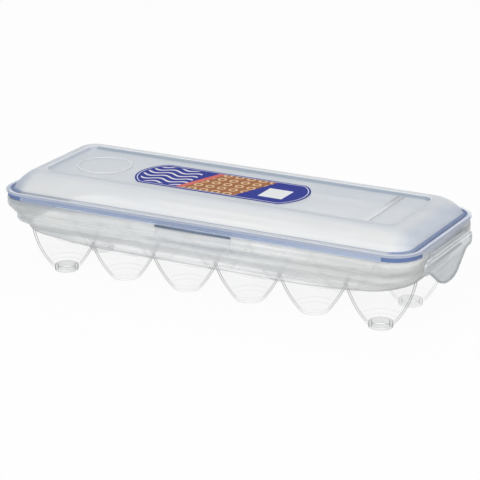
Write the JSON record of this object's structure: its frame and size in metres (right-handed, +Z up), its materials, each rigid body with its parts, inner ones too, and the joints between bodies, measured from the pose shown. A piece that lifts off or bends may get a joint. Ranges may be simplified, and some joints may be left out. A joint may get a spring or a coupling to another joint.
{
  "type": "egg keeper with flip lid",
  "caption": "Covered egg tray with rows of round cups, a domed lid that flips open on its rear hinge line, a soft rim seal and locking flaps.",
  "frame": {"origin": "middle of the tray's plan, on the surface that the four corner feet stand on", "axes": "+X to the right along the length, +Y to the rear, where the lid's hinge line is, +Z up"},
  "size_m": [0.3222, 0.1238, 0.0755],
  "materials": {
    "frosted_plastic": "translucent polypropylene, slightly frosted",
    "clear_cup_plastic": "clearer translucent polypropylene with a soft gloss",
    "lid_plastic": "translucent polypropylene, satin",
    "flap_plastic": "translucent polypropylene, glossy",
    "blue_silicone": "soft matte blue silicone",
    "label_paper": "printed blue sticker with a faint sheen"
  },
  "bodies": {
    "tray": {"tray_wall": "frosted_plastic", "cup_front_1": "clear_cup_plastic", "cup_front_2": "clear_cup_plastic", "cup_front_3": "clear_cup_plastic", "cup_front_4": "clear_cup_plastic", "cup_front_5": "clear_cup_plastic", "cup_front_6": "clear_cup_plastic", "cup_rear_1": "clear_cup_plastic", "cup_rear_2": "clear_cup_plastic", "cup_rear_3": "clear_cup_plastic", "cup_rear_4": "clear_cup_plastic", "cup_rear_5": "clear_cup_plastic", "cup_rear_6": "clear_cup_plastic", "rear_hinge_flap": "flap_plastic"},
    "lid": {"lid_rim": "lid_plastic", "lid_dome": "lid_plastic", "lid_cross_rib": "lid_plastic", "lid_round_ring": "lid_plastic", "seal_ring": "blue_silicone", "lid_label": "label_paper"},
    "front_flap": {"front_flap": "flap_plastic"},
    "left_flap": {"left_flap": "flap_plastic"},
    "right_flap": {"right_flap": "flap_plastic"}
  },
  "joints": [
    {"name": "lid_hinge", "type": "hinge", "parent": "tray", "child": "lid", "pos_m": [0, 0.06105, 0.0578], "axis": [-1, 0, 0], "range_deg": [0, 110]},
    {"name": "front_flap_hinge", "type": "hinge", "parent": "lid", "child": "front_flap", "pos_m": [0, -0.06105, 0.0578], "axis": [-1, 0, 0], "range_deg": [0, 150]},
    {"name": "left_flap_hinge", "type": "hinge", "parent": "lid", "child": "left_flap", "pos_m": [-0.1593, 0, 0.0578], "axis": [0, 1, 0], "range_deg": [0, 150]},
    {"name": "right_flap_hinge", "type": "hinge", "parent": "lid", "child": "right_flap", "pos_m": [0.1593, 0, 0.0578], "axis": [0, -1, 0], "range_deg": [0, 150]}
  ]
}
